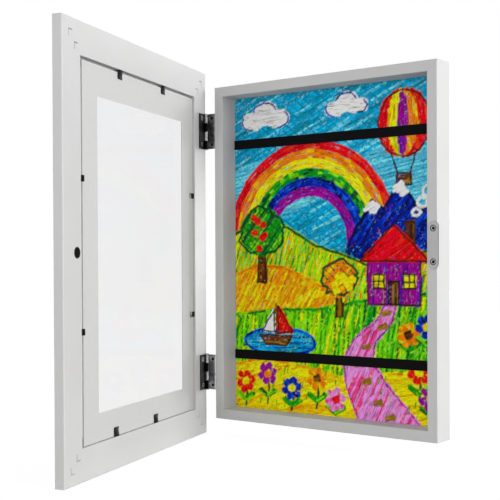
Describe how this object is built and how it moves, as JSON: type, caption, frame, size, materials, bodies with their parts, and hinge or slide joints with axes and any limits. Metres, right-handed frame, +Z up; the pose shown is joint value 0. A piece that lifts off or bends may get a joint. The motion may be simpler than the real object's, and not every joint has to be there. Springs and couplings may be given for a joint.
{
  "type": "front opening art frame",
  "caption": "White wall frame for children's art: a shallow cabinet that stores paper behind elastic straps, with a glazed and matted door on side hinges and a magnetic catch.",
  "frame": {"origin": "middle of the back panel's rear face, in the plane of the cabinet's back", "axes": "+X to the right and +Z up as seen from the front, +Y back into the wall: the front looks along -Y"},
  "size_m": [0.2584, 0.2776, 0.35],
  "materials": {
    "white_lacquered_board": "fibre board with a smooth white lacquer, satin",
    "back_panel_board": "white faced hardboard, matt",
    "artwork_paper": "crayon drawing on drawing paper",
    "black_elastic": "flat woven elastic, black",
    "hinge_steel": "dark grey plated hinge steel, smooth",
    "hinge_screw_steel": "nickel plated screw steel",
    "zinc_steel": "zinc plated steel",
    "satin_steel": "satin nickel plated steel",
    "magnet_cup_plastic": "moulded black plastic",
    "magnet_steel": "black coated magnet",
    "clear_acrylic": "clear acrylic sheet, polished",
    "mat_card": "white mat board, matt",
    "black_spring_steel": "blackened spring steel, glossy",
    "hanger_steel": "zinc plated steel sheet"
  },
  "bodies": {
    "cabinet": {"cabinet_wall_top": "white_lacquered_board", "cabinet_wall_bottom": "white_lacquered_board", "cabinet_wall_left": "white_lacquered_board", "cabinet_wall_right": "white_lacquered_board", "back_panel": "back_panel_board", "artwork_sheet": "artwork_paper", "strap_upper": "black_elastic", "strap_lower": "black_elastic", "strike_plate": "satin_steel", "strike_screw_high": "zinc_steel", "strike_screw_low": "zinc_steel", "hinge_upper_wall_leaf": "hinge_steel", "hinge_upper_pin": "hinge_steel", "hinge_upper_wall_screw_high": "hinge_screw_steel", "hinge_upper_wall_screw_low": "hinge_screw_steel", "hinge_lower_wall_leaf": "hinge_steel", "hinge_lower_pin": "hinge_steel", "hinge_lower_wall_screw_high": "hinge_screw_steel", "hinge_lower_wall_screw_low": "hinge_screw_steel", "hanger_top": "hanger_steel", "hanger_top_nail_a": "zinc_steel", "hanger_top_nail_b": "zinc_steel", "hanger_right": "hanger_steel", "hanger_right_nail_a": "zinc_steel", "hanger_right_nail_b": "zinc_steel"},
    "door": {"door_rail_top": "white_lacquered_board", "door_rail_bottom": "white_lacquered_board", "door_stile_hinge": "white_lacquered_board", "door_stile_free": "white_lacquered_board", "glazing": "clear_acrylic", "mat_board": "mat_card", "tab_top_a": "black_spring_steel", "tab_top_b": "black_spring_steel", "tab_bottom_a": "black_spring_steel", "tab_bottom_b": "black_spring_steel", "tab_left_a": "black_spring_steel", "tab_left_b": "black_spring_steel", "tab_right_a": "black_spring_steel", "tab_right_b": "black_spring_steel", "corner_nail_top_free_outer": "zinc_steel", "corner_nail_top_free_inner": "zinc_steel", "corner_nail_top_hinge_outer": "zinc_steel", "corner_nail_top_hinge_inner": "zinc_steel", "corner_nail_bottom_free_outer": "zinc_steel", "corner_nail_bottom_free_inner": "zinc_steel", "corner_nail_bottom_hinge_outer": "zinc_steel", "corner_nail_bottom_hinge_inner": "zinc_steel", "magnet_cup": "magnet_cup_plastic", "magnet_disc": "magnet_steel", "hinge_upper_door_leaf": "hinge_steel", "hinge_upper_door_screw_high": "hinge_screw_steel", "hinge_upper_door_screw_low": "hinge_screw_steel", "hinge_lower_door_leaf": "hinge_steel", "hinge_lower_door_screw_high": "hinge_screw_steel", "hinge_lower_door_screw_low": "hinge_screw_steel"}
  },
  "joints": [
    {"name": "door_hinge", "type": "hinge", "parent": "cabinet", "child": "door", "pos_m": [-0.1285, -0.0223, 0], "axis": [0, 0, -1], "range_deg": [-74.3, 105.7]}
  ]
}
